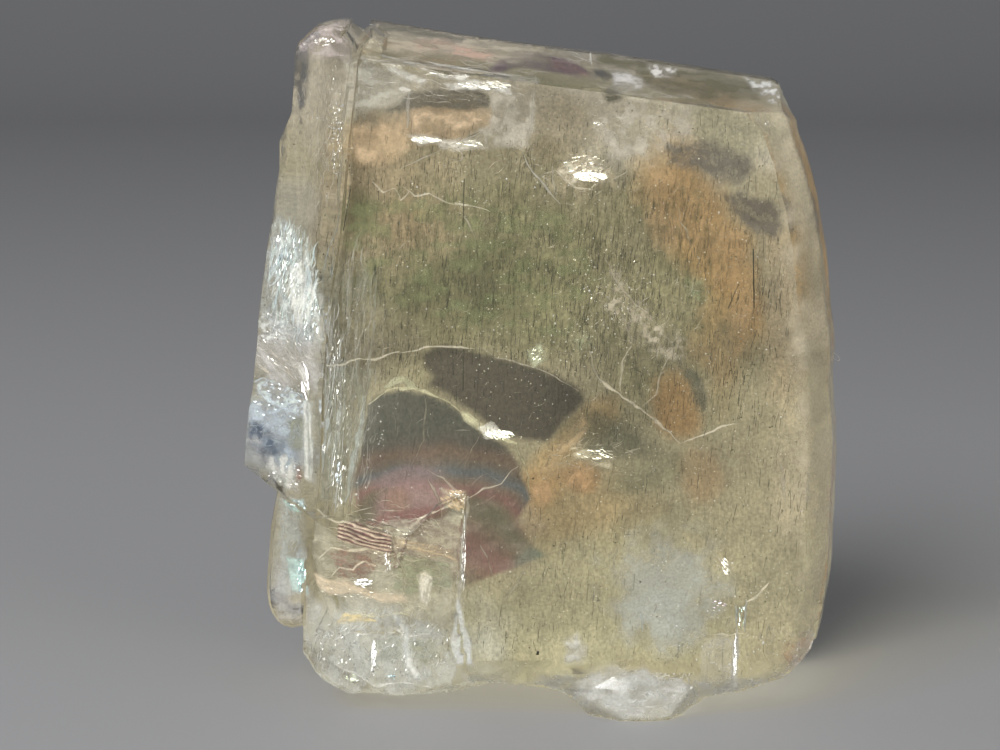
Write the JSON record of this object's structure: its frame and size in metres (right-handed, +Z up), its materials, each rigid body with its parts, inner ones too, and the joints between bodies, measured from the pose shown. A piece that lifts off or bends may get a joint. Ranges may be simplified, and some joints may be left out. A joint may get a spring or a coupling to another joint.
{
  "type": "sanidine crystal",
  "caption": "Thick tabular fragment of clear, champagne-coloured sanidine, standing upright on its rough broken base.",
  "frame": {"origin": "on the surface that the crystal stands on, under the middle of its bounding box", "axes": "+Z up, the broad front cleavage face looks towards -Y, +X to the right as seen from the front"},
  "size_m": [0.0176, 0.0076, 0.0204],
  "materials": {
    "sanidine": "clear champagne to olive-yellow feldspar with a glassy front cleavage, rough broken base and back"
  },
  "bodies": {
    "root": {"sanidine_crystal": "sanidine"}
  },
  "joints": []
}
